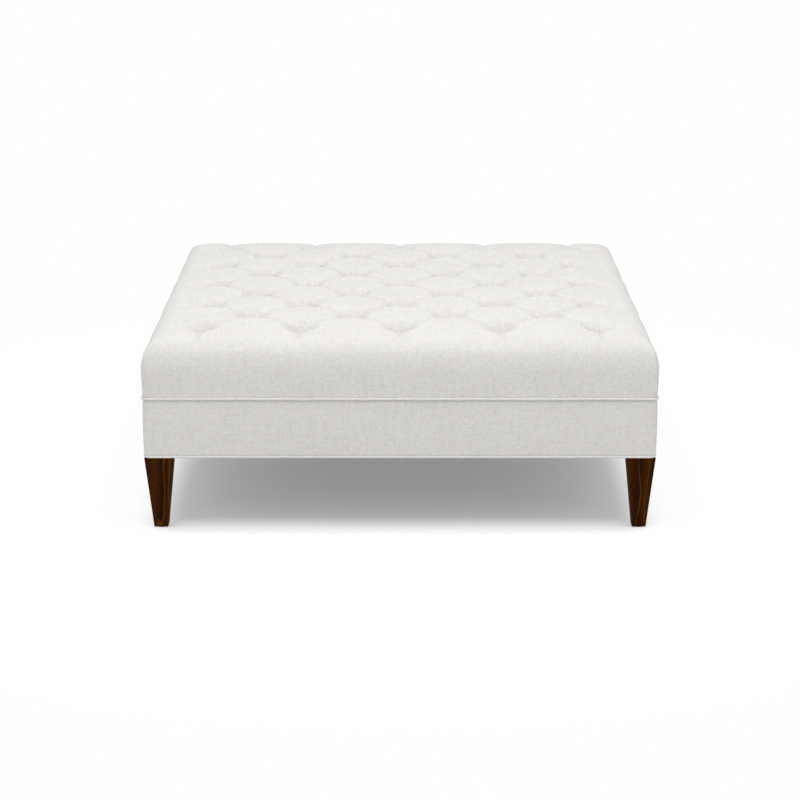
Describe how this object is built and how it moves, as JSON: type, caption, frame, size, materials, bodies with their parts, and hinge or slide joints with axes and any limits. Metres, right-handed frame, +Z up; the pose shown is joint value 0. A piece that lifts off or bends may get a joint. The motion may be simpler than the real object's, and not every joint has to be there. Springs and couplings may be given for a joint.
{
  "type": "ottoman coffee table",
  "caption": "Square tufted ottoman coffee table: diamond-tufted cushion on a piped upholstered box, with tapered wooden legs.",
  "frame": {"origin": "on the floor, under the middle of the table", "axes": "+Z up; front is -Y and right is +X, and the four sides are alike"},
  "size_m": [1.067, 1.067, 0.4135],
  "materials": {
    "ivory_linen": "plain woven linen-look upholstery cloth, matt",
    "dark_walnut": "dark walnut stain under a satin lacquer",
    "pine": "planed, unfinished",
    "hardwood_block": "sawn, unfinished",
    "plywood": "sanded, unfinished",
    "foam": "open-cell upholstery foam",
    "tufting_cord": "waxed cord",
    "black_cambric": "thin non-woven cloth, matt",
    "glide_plastic": "moulded, matt black",
    "zinc": "zinc plated"
  },
  "bodies": {
    "root": {"back_rail": "pine", "base_band": "ivory_linen", "cleat_screws": "zinc", "corner_block_back_left": "hardwood_block", "corner_block_back_right": "hardwood_block", "corner_block_front_left": "hardwood_block", "corner_block_front_right": "hardwood_block", "cross_rail_left": "pine", "cross_rail_right": "pine", "deck_cleat_left": "pine", "deck_cleat_right": "pine", "deck_panel": "plywood", "deck_screws": "zinc", "dust_cover": "black_cambric", "foam_core": "foam", "foot_glides": "glide_plastic", "front_rail": "pine", "hanger_bolts": "zinc", "hem_piping": "ivory_linen", "left_rail": "pine", "leg_back_left": "dark_walnut", "leg_back_right": "dark_walnut", "leg_front_left": "dark_walnut", "leg_front_right": "dark_walnut", "leg_inserts": "zinc", "rail_screws": "zinc", "right_rail": "pine", "seam_piping": "ivory_linen", "top_cover": "ivory_linen", "tuft_ties": "tufting_cord", "tuft_toggles": "pine"}
  },
  "joints": []
}
